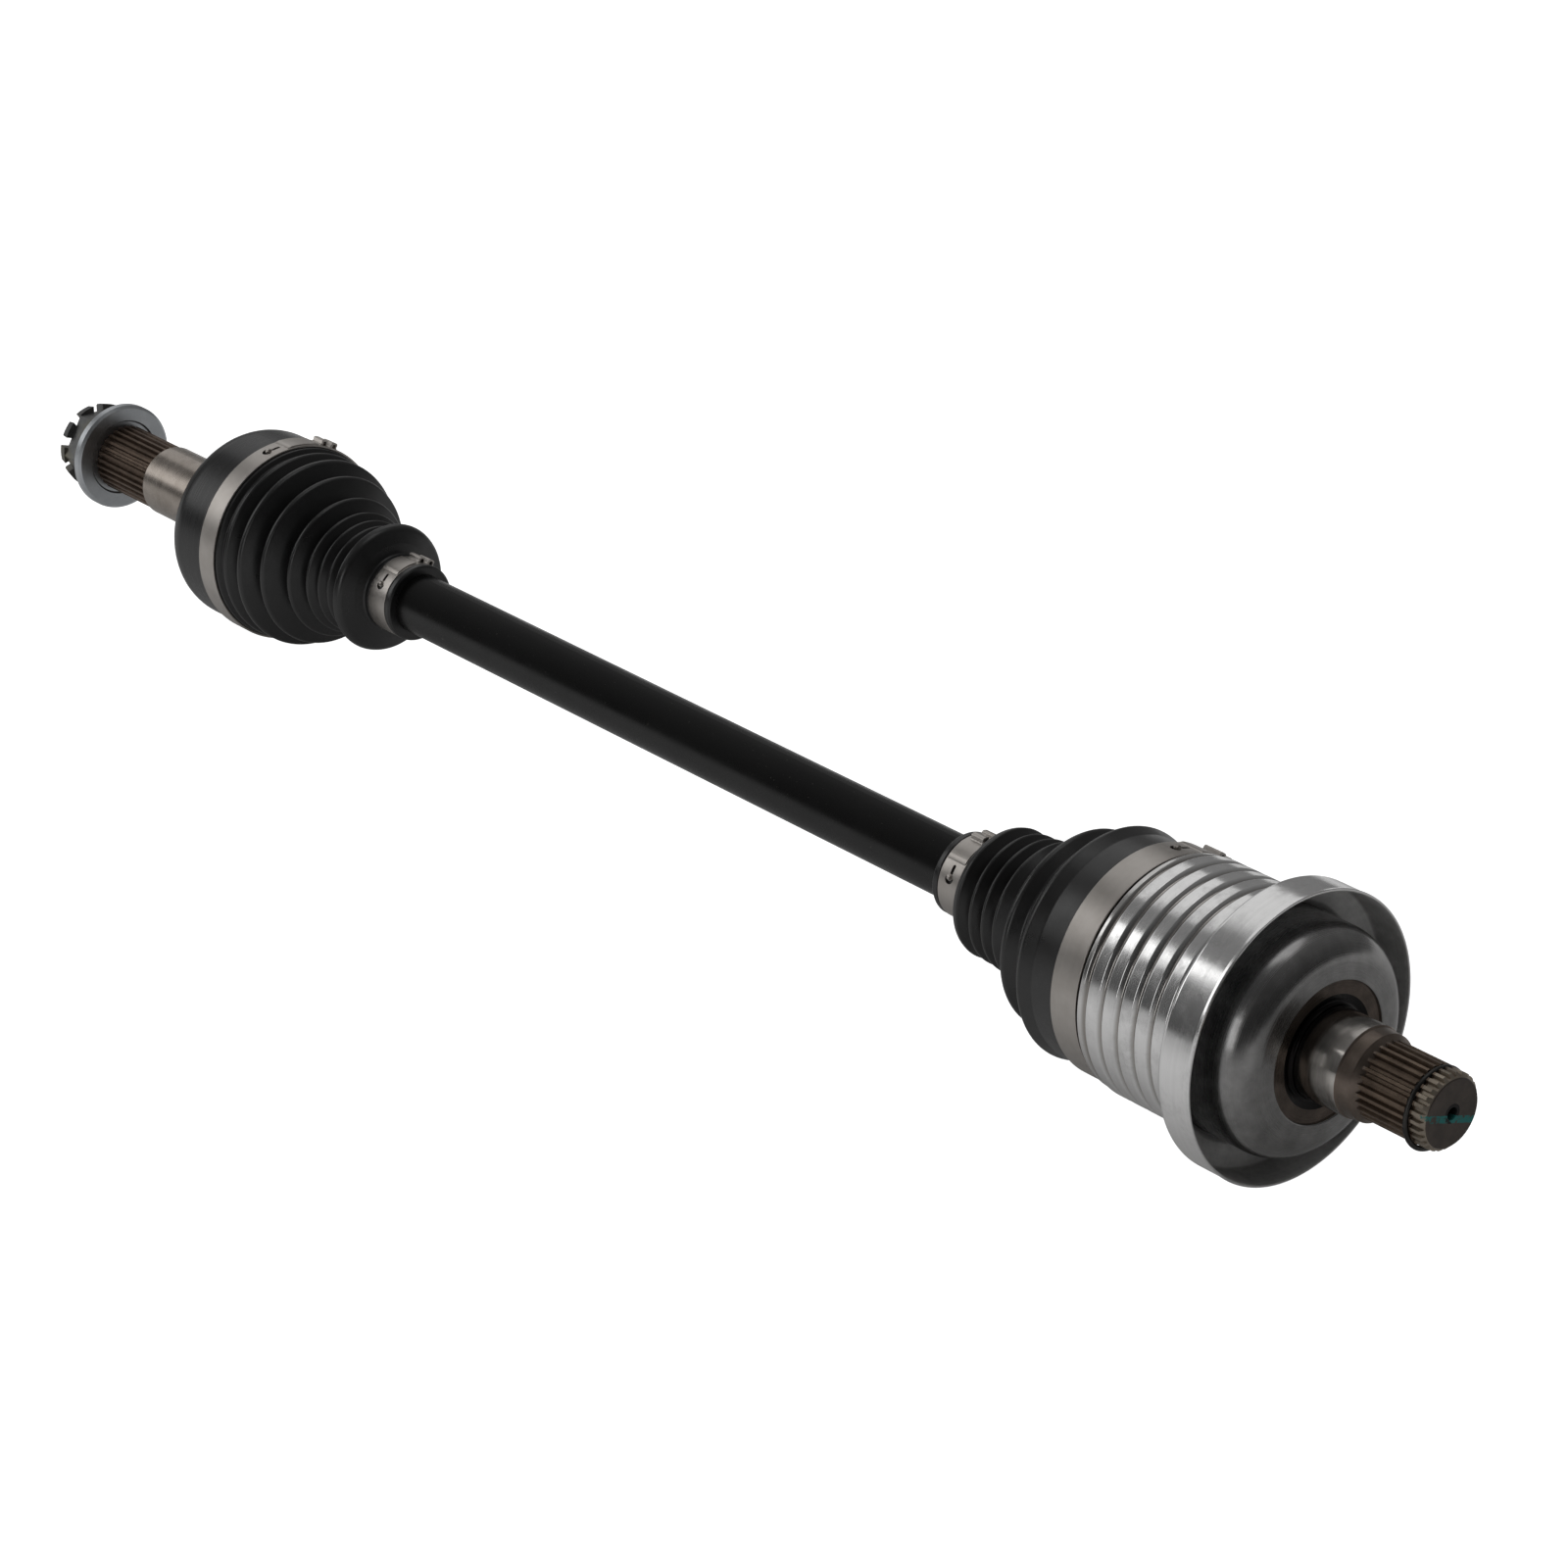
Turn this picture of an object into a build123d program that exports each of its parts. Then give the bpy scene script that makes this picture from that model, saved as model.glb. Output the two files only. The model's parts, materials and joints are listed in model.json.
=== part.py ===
"""CV half-shaft: a bar with a fixed ball joint at the wheel end and a plunging ball joint
at the gearbox end, each under a rubber boot. Millimetres.

The shaft lies along X. +X points to the gearbox end and -X to the wheel end. The origin is
on the shaft axis, halfway along the whole length. +Z is up.
"""

import math
import os

from build123d import *

os.makedirs("parts", exist_ok=True)

# ---- whole shaft -------------------------------------------------------------------------
HALF_LENGTH = 458.0  # origin to either end
BAR_R = 14.0  # bar between the boots
NECK_OUTER_R = 12.8  # bar inside the outer boot
NECK_INNER_R = 12.0  # bar inside the inner boot
SEAT_R = 12.5  # bar's seat in each inner race
COLLAR_R = 13.4  # collar that each inner race stops against
SEAT_HALF = 12.0  # half of an inner race's width
BAR_TIP = 15.5  # bar end past each joint centre

# ---- balls (both joints) -----------------------------------------------------------------
BALL_R = 9.0
BALLS = 6
BALL_STEP = 360 / BALLS
WINDOW_LENGTH = 18.1  # cage window along the shaft

# ---- outer joint (fixed, ball tracks are arcs about the joint centre) -----------------------
OUTER_X = -297.0  # joint centre
OUTER_PITCH_R = 29.0  # ball centres from the shaft axis
OUTER_TRACK_R = 10.6  # track section, wider than a ball so that it can run at full angle
OUTER_RACE_R = 25.8
OUTER_CAGE_IN_R = 26.1
OUTER_CAGE_OUT_R = 31.7
OUTER_CAVITY_R = 32.0
OUTER_BELL_R = 47.2
OUTER_MOUTH = -280.0  # open end of the bell
OUTER_CUFF_R = 45.2  # bell under the boot
OUTER_CUFF_END = -295.5
STUB_R = 17.4  # ground part of the wheel stub
HUB_SPLINE_R = 16.6
HUB_SPLINE_TEETH = 30
HUB_SPLINE_START = -390.0
HUB_SPLINE_END = -431.5
THREAD_R = 11.95
THREAD_END = -455.0

# ---- hub washer and castle nut --------------------------------------------------------------
WASHER_R = 26.6
WASHER_FACE = -431.0
WASHER_THICK = 5.0
WASHER_BORE_R = 12.3
NUT_BORE_R = 12.0
NUT_FLANGE_R = 24.6
NUT_CASTLE_R = 20.6
NUT_SLOTS = 10
NUT_SLOT_WIDTH = 5.2
NUT_SLOT_DEPTH = 6.0

# ---- inner joint (plunging, straight tracks in the housing) -----------------------------------
INNER_X = 328.0
INNER_PITCH_R = 30.0
INNER_TRACK_R = 9.5
INNER_RACE_R = 27.6
INNER_CAGE_IN_R = 27.9
INNER_CAGE_OUT_R = 32.9
INNER_BORE_R = 33.2
INNER_MOUTH = 286.5
INNER_CUFF_R = 46.6
INNER_CUFF_END = 308.5
INNER_BELL_R = 48.3
CAVITY_END = 380.0
BELL_FACE = 395.3  # machined end face of the bell
SEAL_SEAT_START = 395.2
WIRE_RING_X = 290.5
GEARBOX_STUB_R = 19.2
GEARBOX_SPLINE_R = 16.3
GEARBOX_SPLINE_TEETH = 28
GEARBOX_SPLINE_START = 425.4
CIRCLIP_X = 449.5
CIRCLIP_WIRE_R = 1.1
CIRCLIP_R = 16.3  # centre of the wire
CIRCLIP_DROP = 1.15  # the loose ring hangs on its groove

# ---- dust shield on the inner joint ---------------------------------------------------------
SHIELD_START = 309.0
SHIELD_RIM_X = 381.0
SHIELD_RIM_R = 61.2
SHIELD_SHEET = 1.2
RIB_COUNT = 5
RIB_PITCH = 8.95
RIB_TOP_R = 51.3
FIRST_RIB_X = 317.7

# ---- clamps ---------------------------------------------------------------------------------
BAND = 1.1  # large clamp band
SMALL_BAND = 0.9
SMALL_CUFF_R = 17.3  # boot over the bar, under the small clamp


def wire(points):
    """Closed face in the XZ plane. A point is (x, r), reached by a straight edge, or
    (x, r, x through, r through), reached by an arc."""
    edges = []
    for start, end in zip(points, points[1:] + points[:1]):
        a = (start[0], 0, start[1])
        b = (end[0], 0, end[1])
        if len(end) == 4:
            edges.append(ThreePointArc(a, (end[2], 0, end[3]), b))
        else:
            edges.append(Line(a, b))
    return make_face(edges)


def turned(points):
    """Solid turned about the shaft axis from (x, r) points."""
    return revolve(wire(points), Axis.X)


def drum(x0, x1, r):
    """Plain cylinder along the shaft from x0 to x1."""
    return Pos((x0 + x1) / 2, 0, 0) * Rot(0, 90, 0) * Cylinder(r, abs(x1 - x0))


def ring(x0, x1, r_in, r_out):
    """Plain ring along the shaft."""
    return turned([(x0, r_in), (x0, r_out), (x1, r_out), (x1, r_in)])


def around(shape, count, start=0.0):
    """Copies of a shape spread evenly round the shaft."""
    return [Rot(start + 360 * k / count, 0, 0) * shape for k in range(count)]


def shoulder(cx, cr, radius, turn):
    """Arc about (cx, cr) that starts straight outward and turns by an angle: its start point,
    then its end with the point that it passes through."""
    def at(degrees):
        a = math.radians(degrees)
        return (cx + radius * math.sin(a), cr + radius * math.cos(a))

    return [at(0), at(turn) + at(turn / 2)]


def toothed(x0, x1, r_tip, depth, teeth):
    """Splined bar along the shaft with straight-sided teeth."""
    step = 2 * math.pi / teeth
    outline = []
    for k in range(teeth):
        base = k * step
        for share, r in ((-0.32, r_tip - depth), (-0.17, r_tip), (0.17, r_tip), (0.32, r_tip - depth)):
            a = base + share * step
            outline.append((0, r * math.cos(a), r * math.sin(a)))
    face = make_face(Polyline(*outline, close=True))
    return Pos(x0, 0, 0) * extrude(face, amount=x1 - x0, dir=(1, 0, 0))


def track(centre_x, pitch_r, track_r, a0, a1):
    """Curved ball track: a round section swept about the joint centre from a0 to a1 degrees.
    Positive angles lie towards +X."""
    section = Plane(origin=(centre_x, 0, pitch_r), x_dir=(0, 1, 0), z_dir=(1, 0, 0)) * Circle(track_r)
    hinge = Axis((centre_x, 0, 0), (0, 1, 0))
    return revolve(section.rotate(hinge, a0), hinge, a1 - a0)


def ball(centre_x, pitch_r, index):
    """Ball number index, counted from the top."""
    return Rot(index * BALL_STEP, 0, 0) * Pos(centre_x, 0, pitch_r) * Sphere(BALL_R)


def ball_slice(centre_x, radius, half_width):
    """Slice of a sphere between two planes square to the shaft."""
    limit = drum(centre_x - half_width, centre_x + half_width, radius + 5)
    return (Pos(centre_x, 0, 0) * Sphere(radius)) & limit


def inner_race(centre_x, race_r, pitch_r, track_r):
    """Ball-shaped race with curved tracks and a bore for the bar."""
    body = ball_slice(centre_x, race_r, SEAT_HALF)
    body -= drum(centre_x - 20, centre_x + 20, SEAT_R)
    for cut in around(track(centre_x, pitch_r, track_r, -50, 50), BALLS):
        body -= cut
    return body


def cage(centre_x, r_in, r_out, half_width, window_width):
    """Ball cage: a ball-shaped shell with one window for each ball."""
    body = ball_slice(centre_x, r_out, half_width) - Pos(centre_x, 0, 0) * Sphere(r_in)
    window = Pos(centre_x, 0, r_out) * Box(WINDOW_LENGTH, window_width, 2 * (r_out - r_in) + 8)
    for cut in around(window, BALLS):
        body -= cut
    return body


def bellows(points, wall, cuffs):
    """Rubber boot. points are crests and valleys (x, r) from the small end to the large end,
    cuffs are closed (x, r) outlines fused on at the ends."""
    outside = Spline(*[(x, 0, r) for x, r in points])
    inside = Spline(*[(x, 0, r - wall) for x, r in points])
    first = Line((points[0][0], 0, points[0][1]), (points[0][0], 0, points[0][1] - wall))
    last = Line((points[-1][0], 0, points[-1][1]), (points[-1][0], 0, points[-1][1] - wall))
    body = revolve(make_face([outside, last, inside, first]), Axis.X)
    for cuff in cuffs:
        body += turned(cuff)
    return body


def band_clamp(x0, x1, r_in, thick, ear_height, ear_angle):
    """Steel band round a boot, with a folded ear that closes it and a raised tail beside it."""
    width = x1 - x0
    mid = (x0 + x1) / 2
    body = ring(x0, x1, r_in, r_in + thick)
    leg = Box(width * 0.8, thick, ear_height)
    top = Box(width * 0.8, 5.0, thick)
    stand = r_in + thick / 2
    ear = Pos(mid, -2.0, stand + ear_height / 2) * leg
    ear += Pos(mid, 2.0, stand + ear_height / 2) * leg
    ear += Pos(mid, 0, stand + ear_height) * top
    tail = ring(x0 + width * 0.2, x1 - width * 0.2, r_in, r_in + 2 * thick)
    tail &= Pos(mid, 8.5, r_in) * Box(2 * width, 9.0, 12.0)
    return Rot(ear_angle, 0, 0) * (body + ear + tail)


def axle_bar():
    """Bar with a necked-down seat, a stop collar and a snap-ring groove at each end."""
    right = [
        (202, BAR_R),
        (222, NECK_INNER_R),
        (INNER_X - SEAT_HALF - 6.0, NECK_INNER_R),
        (INNER_X - SEAT_HALF - 4.5, COLLAR_R),
        (INNER_X - SEAT_HALF, COLLAR_R),
        (INNER_X - SEAT_HALF, SEAT_R),
        (INNER_X + SEAT_HALF + 0.1, SEAT_R),
        (INNER_X + SEAT_HALF + 0.1, 11.4),
        (INNER_X + SEAT_HALF + 1.7, 11.4),
        (INNER_X + SEAT_HALF + 1.7, SEAT_R),
        (INNER_X + BAR_TIP - 1.0, SEAT_R),
        (INNER_X + BAR_TIP, SEAT_R - 1.0),
    ]
    left = [
        (-198, BAR_R),
        (-214, NECK_OUTER_R),
        (OUTER_X + SEAT_HALF + 6.0, NECK_OUTER_R),
        (OUTER_X + SEAT_HALF + 4.5, COLLAR_R),
        (OUTER_X + SEAT_HALF, COLLAR_R),
        (OUTER_X + SEAT_HALF, SEAT_R),
        (OUTER_X - SEAT_HALF - 0.1, SEAT_R),
        (OUTER_X - SEAT_HALF - 0.1, 11.4),
        (OUTER_X - SEAT_HALF - 1.7, 11.4),
        (OUTER_X - SEAT_HALF - 1.7, SEAT_R),
        (OUTER_X - BAR_TIP + 1.0, SEAT_R),
        (OUTER_X - BAR_TIP, SEAT_R - 1.0),
    ]
    ends = [(INNER_X + BAR_TIP, 0), (OUTER_X - BAR_TIP, 0)]
    return turned(right + ends + left[::-1])


def snap_ring(x0, x1, r_in, r_out, gap):
    """Open spring ring with its gap at the bottom."""
    return ring(x0, x1, r_in, r_out) - Pos((x0 + x1) / 2, 0, -r_out) * Box(6, gap, r_out)


def outer_housing():
    """Bell of the outer joint with the wheel stub: ground seat, hub spline and thread."""
    c = OUTER_X
    outline = [(OUTER_MOUTH, 34.6), (OUTER_MOUTH, OUTER_CUFF_R - 1.0), (OUTER_MOUTH - 1.0, OUTER_CUFF_R)]
    outline += [(OUTER_CUFF_END, OUTER_CUFF_R), (OUTER_CUFF_END, OUTER_BELL_R - 0.6)]
    outline += [(OUTER_CUFF_END - 0.6, OUTER_BELL_R)]
    outline += shoulder(c - 15, OUTER_BELL_R - 14, 14, -84)
    outline += [(c - 36, 26), (c - 42, 24), (c - 42.8, 23.2), (c - 43.2, 20)]
    outline += [(c - 45.8, STUB_R)]
    outline += [(HUB_SPLINE_START + 2.0, STUB_R), (HUB_SPLINE_START, 14.8), (HUB_SPLINE_END, 14.8)]
    outline += [(HUB_SPLINE_END - 0.2, THREAD_R)]
    outline += [(THREAD_END + 1.5, THREAD_R), (THREAD_END, THREAD_R - 1.5), (THREAD_END, 0)]
    outline += [(OUTER_MOUTH, 0)]
    body = turned(outline)
    teeth = toothed(HUB_SPLINE_END, HUB_SPLINE_START + 1, HUB_SPLINE_R, 1.8, HUB_SPLINE_TEETH)
    envelope = turned([
        (HUB_SPLINE_START + 2, 0),
        (HUB_SPLINE_START + 2, HUB_SPLINE_R),
        (HUB_SPLINE_END + 1.6, HUB_SPLINE_R),
        (HUB_SPLINE_END, HUB_SPLINE_R - 1.6),
        (HUB_SPLINE_END, 0),
    ])
    body += teeth & envelope
    cavity = Pos(c, 0, 0) * Sphere(OUTER_CAVITY_R)
    cavity -= drum(c - 60, c - 24.5, 60)
    body -= cavity
    body -= turned([(c + 11.5, 0), (c + 11.5, 30.0), (OUTER_MOUTH + 0.2, 35.0), (OUTER_MOUTH + 0.2, 0)])
    for cut in around(track(c, OUTER_PITCH_R, OUTER_TRACK_R, -42, 45), BALLS):
        body -= cut
    centre_hole = Pos(THREAD_END, 0, 0) * Rot(0, 90, 0) * Cone(3.5, 0.5, 8)
    return body - centre_hole


def hub_washer():
    """Thick washer, chamfered, with a shallow recess that clears the spline end."""
    back = WASHER_FACE - WASHER_THICK
    return turned([
        (WASHER_FACE, 19.0),
        (WASHER_FACE, WASHER_R - 1.4),
        (WASHER_FACE - 1.0, WASHER_R),
        (back + 0.8, WASHER_R),
        (back, WASHER_R - 0.8),
        (back, WASHER_BORE_R),
        (WASHER_FACE - 1.0, WASHER_BORE_R),
        (WASHER_FACE - 1.0, 18.2),
    ])


def hub_nut():
    """Castle nut: flange, hexagon and a round castle cut by slots."""
    seat = WASHER_FACE - WASHER_THICK
    body = turned([
        (seat, NUT_BORE_R),
        (seat, NUT_FLANGE_R),
        (seat - 2.0, NUT_FLANGE_R),
        (seat - 4.0, 23.0),
        (seat - 9.0, 22.4),
        (-HALF_LENGTH + NUT_SLOT_DEPTH, 21.8),
        (-HALF_LENGTH + 1.0, NUT_CASTLE_R),
        (-HALF_LENGTH, NUT_CASTLE_R - 1.0),
        (-HALF_LENGTH, 15.5),
        (-HALF_LENGTH + NUT_SLOT_DEPTH, 15.5),
        (-HALF_LENGTH + NUT_SLOT_DEPTH, NUT_BORE_R + 1.2),
        (-HALF_LENGTH + NUT_SLOT_DEPTH + 1.2, NUT_BORE_R),
    ])
    slot = Pos(-HALF_LENGTH + NUT_SLOT_DEPTH / 2, 0, 19) * Box(NUT_SLOT_DEPTH, NUT_SLOT_WIDTH, 12)
    for cut in around(slot, NUT_SLOTS):
        body -= cut
    hexagon = extrude(Plane.YZ * RegularPolygon(21.6, 6), 40)
    body &= (Pos(-HALF_LENGTH - 5, 0, 0) * hexagon) + drum(seat, seat - 4.0, 40) + drum(
        -HALF_LENGTH, -HALF_LENGTH + NUT_SLOT_DEPTH, 40)
    return body


def inner_housing():
    """Deep bell of the inner joint with the splined gearbox stub."""
    outline = [(INNER_MOUTH, 36.5), (INNER_MOUTH, INNER_CUFF_R - 1.0), (INNER_MOUTH + 1.0, INNER_CUFF_R)]
    outline += [(INNER_CUFF_END, INNER_CUFF_R), (INNER_CUFF_END, INNER_BELL_R)]
    outline += shoulder(BELL_FACE - 14.8, INNER_BELL_R - 14, 14, 80)
    outline += [(BELL_FACE, 30.2), (BELL_FACE - 0.2, 29.8), (BELL_FACE - 1.0, 29.4), (BELL_FACE - 1.0, 23.8)]
    outline += [(BELL_FACE - 1.8, 20.9), (SEAL_SEAT_START, GEARBOX_STUB_R, BELL_FACE - 1.3, 19.7)]
    outline += [(415.6, GEARBOX_STUB_R), (416.4, 18.5), (422.2, 18.2), (GEARBOX_SPLINE_START, 14.6)]
    end = HALF_LENGTH
    outline += [(CIRCLIP_X - 1.2, 14.6), (CIRCLIP_X - 1.2, 14.0), (CIRCLIP_X + 1.2, 14.0)]
    outline += [(CIRCLIP_X + 1.2, 14.6), (end - 1.0, 14.6), (end, 13.6), (end, 0), (INNER_MOUTH, 0)]
    body = turned(outline)
    teeth = toothed(GEARBOX_SPLINE_START - 3, end, GEARBOX_SPLINE_R, 1.7, GEARBOX_SPLINE_TEETH)
    envelope = turned([
        (GEARBOX_SPLINE_START - 3, 0),
        (GEARBOX_SPLINE_START - 3, GEARBOX_SPLINE_R),
        (CIRCLIP_X - 1.2, GEARBOX_SPLINE_R),
        (CIRCLIP_X - 1.2, 14.0),
        (CIRCLIP_X + 1.2, 14.0),
        (CIRCLIP_X + 1.2, GEARBOX_SPLINE_R - 0.3),
        (end - 2.2, GEARBOX_SPLINE_R - 0.3),
        (end, GEARBOX_SPLINE_R - 2.4),
        (end, 0),
    ])
    body += teeth & envelope
    body -= drum(INNER_MOUTH - 1, CAVITY_END, INNER_BORE_R)
    mouth = INNER_MOUTH
    body -= turned([(mouth - 1, 0), (mouth - 1, 37), (mouth + 3, INNER_BORE_R), (mouth + 3, 0)])
    groove = Pos(0, 0, INNER_PITCH_R) * drum(INNER_MOUTH - 1, CAVITY_END - 2, INNER_TRACK_R)
    for cut in around(groove, BALLS):
        body -= cut
    body -= ring(WIRE_RING_X - 1.1, WIRE_RING_X + 1.1, 30, 34.6)
    centre_hole = Pos(end, 0, 0) * Rot(0, -90, 0) * Cone(4.2, 1.2, 9)
    return body - centre_hole


def dust_shield():
    """Thin spun sleeve pressed over the inner bell: a curled edge, rounded ribs, then a flared rim."""
    base = INNER_BELL_R + SHIELD_SHEET
    rise = RIB_TOP_R - base
    outside = [(SHIELD_START, base - 0.3), (SHIELD_START + 0.6, base + 0.9)]
    outside += [(SHIELD_START + 2.0, base + 0.9), (SHIELD_START + 3.4, base)]
    for k in range(RIB_COUNT):
        centre = FIRST_RIB_X + RIB_PITCH * k
        for share in (-0.36, -0.26, -0.14, 0.0, 0.14, 0.26, 0.36):
            height = rise * math.cos(math.radians(90 * share / 0.36)) ** 0.7
            outside.append((centre + share * RIB_PITCH, base + height))
    flare = [(-22.6, 49.5), (-20.4, 50.2), (-18.4, 52.2), (-16.8, 55.4)]
    flare += [(-15.4, 59.2), (-14.2, 60.7), (-12.6, 61.2)]
    outside += [(SHIELD_RIM_X + x, r) for x, r in flare]
    outside += [(SHIELD_RIM_X - 1.5, SHIELD_RIM_R), (SHIELD_RIM_X, SHIELD_RIM_R + 0.3)]
    rim_in = SHIELD_RIM_R - SHIELD_SHEET
    throat = [(0.0, rim_in + 0.3), (-1.5, rim_in), (-12.6, rim_in), (-13.8, rim_in - 0.7)]
    throat += [(-15.6, 55.2), (-17.2, 51.8), (-19.4, 49.2), (-22.0, INNER_BELL_R)]
    inside = [(SHIELD_RIM_X + x, r) for x, r in throat]
    inside += [(SHIELD_START, INNER_BELL_R)]
    return turned(outside + inside)


def stub_circlip():
    """Round-wire circlip that hangs loose in its groove, with its gap to one side."""
    wire_ring = Pos(CIRCLIP_X, 0, -CIRCLIP_DROP) * Rot(0, 90, 0) * Torus(CIRCLIP_R, CIRCLIP_WIRE_R)
    return wire_ring - Pos(CIRCLIP_X, CIRCLIP_R, 0) * Box(6, 8, 7)


def outer_boot():
    """Outer boot: small cuff, dome, three fine folds, then folds that grow to the large cuff."""
    dome = [(-201.0, 17.6), (-203.2, 20.5), (-205.0, 26.0), (-207.4, 30.0), (-209.6, 30.6)]
    folds = [(-213.4, 25.0), (-216.4, 22.8), (-220.0, 26.4), (-223.0, 24.0), (-226.2, 27.4)]
    folds += [(-229.2, 24.8), (-232.6, 29.4), (-236.6, 26.2), (-241.0, 34.2), (-246.6, 29.4)]
    folds += [(-252.8, 42.0), (-258.8, 35.6), (-265.0, 46.8), (-270.6, 41.0), (-275.6, 46.0)]
    folds += [(-279.6, 46.2)]
    small = [(-183.0, BAR_R), (-183.0, 17.6), (-184.0, 18.4), (-185.6, 18.4), (-186.4, SMALL_CUFF_R)]
    small += [(-199.6, SMALL_CUFF_R), (-200.4, 18.2), (-202.0, 18.2), (-202.4, 15.6), (-200.0, BAR_R)]
    large = [(-278.6, 45.6), (-278.6, 46.8), (-281.6, 47.2), (-294.4, 47.2), (-294.4, 47.8)]
    large += [(-295.4, 47.8), (-295.4, OUTER_CUFF_R), (-280.4, OUTER_CUFF_R), (-279.8, 44.4)]
    return bellows(dome + folds, 2.0, [small, large])


def inner_boot():
    """Inner boot: small cuff, four fine folds, then two large ones and a plain band."""
    folds = [(207.4, 18.4), (210.4, 22.0), (213.4, 27.2), (216.4, 28.0), (220.2, 24.2), (224.0, 28.4)]
    folds += [(227.8, 24.8), (231.8, 28.9), (235.8, 25.8), (240.0, 30.2), (246.4, 27.6)]
    folds += [(252.0, 37.0), (258.6, 42.8), (265.6, 38.6), (274.0, 49.4), (281.0, 48.0)]
    small = [(190.0, BAR_R), (190.0, 17.6), (191.0, 18.2), (192.6, 18.2), (193.4, SMALL_CUFF_R)]
    small += [(206.0, SMALL_CUFF_R), (206.8, 18.6), (208.6, 18.8), (208.6, 16.0), (206.0, BAR_R)]
    large = [(280.2, 46.4), (280.2, 48.2), (282.0, 48.6), (308.2, 48.6), (308.2, INNER_CUFF_R)]
    large += [(286.2, INNER_CUFF_R), (285.4, 46.0)]
    return bellows(folds, 2.0, [small, large])


# ---- build every piece ------------------------------------------------------------------------
pieces = {
    "axle_bar": axle_bar(),
    "outer_housing": outer_housing(),
    "outer_inner_race": inner_race(OUTER_X, OUTER_RACE_R, OUTER_PITCH_R, OUTER_TRACK_R),
    "outer_cage": cage(OUTER_X, OUTER_CAGE_IN_R, OUTER_CAGE_OUT_R, 13.0, 20.6),
    "outer_race_snap_ring": snap_ring(OUTER_X - SEAT_HALF - 1.7, OUTER_X - SEAT_HALF - 0.1, 11.4, 13.6, 6),
    "outer_boot": outer_boot(),
    "outer_large_clamp": band_clamp(-293.8, -282.0, 47.2, BAND, 3.2, -28),
    "outer_small_clamp": band_clamp(-199.2, -186.8, SMALL_CUFF_R, SMALL_BAND, 2.8, -28),
    "hub_washer": hub_washer(),
    "hub_nut": hub_nut(),
    "inner_housing": inner_housing(),
    "inner_inner_race": inner_race(INNER_X, INNER_RACE_R, INNER_PITCH_R, INNER_TRACK_R),
    "inner_cage": cage(INNER_X, INNER_CAGE_IN_R, INNER_CAGE_OUT_R, 14.0, 19.6),
    "inner_race_snap_ring": snap_ring(INNER_X + SEAT_HALF + 0.1, INNER_X + SEAT_HALF + 1.7, 11.4, 13.6, 6),
    "inner_wire_ring": snap_ring(WIRE_RING_X - 1.0, WIRE_RING_X + 1.0, 32.0, 34.5, 12),
    "inner_boot": inner_boot(),
    "inner_large_clamp": band_clamp(293.5, 307.6, 48.6, BAND, 3.2, -35),
    "inner_small_clamp": band_clamp(193.8, 205.4, SMALL_CUFF_R, SMALL_BAND, 2.8, -8),
    "dust_shield": dust_shield(),
    "stub_circlip": stub_circlip(),
}
for number in range(BALLS):
    pieces[f"outer_ball_{number + 1}"] = ball(OUTER_X, OUTER_PITCH_R, number)
    pieces[f"inner_ball_{number + 1}"] = ball(INNER_X, INNER_PITCH_R, number)

for name, shape in pieces.items():
    export_step(shape, f"parts/{name}.step")
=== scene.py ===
import json
import math

import bmesh
import bpy
import numpy as np
from mathutils import Matrix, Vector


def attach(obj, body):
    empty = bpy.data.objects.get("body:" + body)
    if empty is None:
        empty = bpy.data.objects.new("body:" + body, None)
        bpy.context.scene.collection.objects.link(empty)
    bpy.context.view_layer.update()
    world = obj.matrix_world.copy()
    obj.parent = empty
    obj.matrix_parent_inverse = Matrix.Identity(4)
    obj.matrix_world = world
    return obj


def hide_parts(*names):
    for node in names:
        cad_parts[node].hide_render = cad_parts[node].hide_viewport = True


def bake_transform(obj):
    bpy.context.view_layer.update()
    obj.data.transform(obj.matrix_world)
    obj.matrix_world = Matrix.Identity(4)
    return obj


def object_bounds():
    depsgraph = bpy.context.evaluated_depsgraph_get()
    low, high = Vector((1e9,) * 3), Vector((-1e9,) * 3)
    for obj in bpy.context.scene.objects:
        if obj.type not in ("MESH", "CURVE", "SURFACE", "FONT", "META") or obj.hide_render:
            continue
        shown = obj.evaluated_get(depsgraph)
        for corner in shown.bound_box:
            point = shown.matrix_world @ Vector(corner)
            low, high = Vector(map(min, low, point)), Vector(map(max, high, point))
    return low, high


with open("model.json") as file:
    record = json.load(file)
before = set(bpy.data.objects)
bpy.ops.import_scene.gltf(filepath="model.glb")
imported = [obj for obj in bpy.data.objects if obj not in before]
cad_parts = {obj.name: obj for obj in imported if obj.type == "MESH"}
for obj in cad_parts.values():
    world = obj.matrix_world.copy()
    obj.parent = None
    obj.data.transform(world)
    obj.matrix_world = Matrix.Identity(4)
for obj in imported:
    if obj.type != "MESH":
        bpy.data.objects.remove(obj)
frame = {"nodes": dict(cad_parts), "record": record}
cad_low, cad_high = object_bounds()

MM = 0.001
SEGMENTS = 192
record = frame["record"]


# ---- turned shapes ---------------------------------------------------------------------------
def left_of(direction):
    """Unit vector square to a direction, on its left."""
    return np.array([-direction[1], direction[0]])


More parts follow.
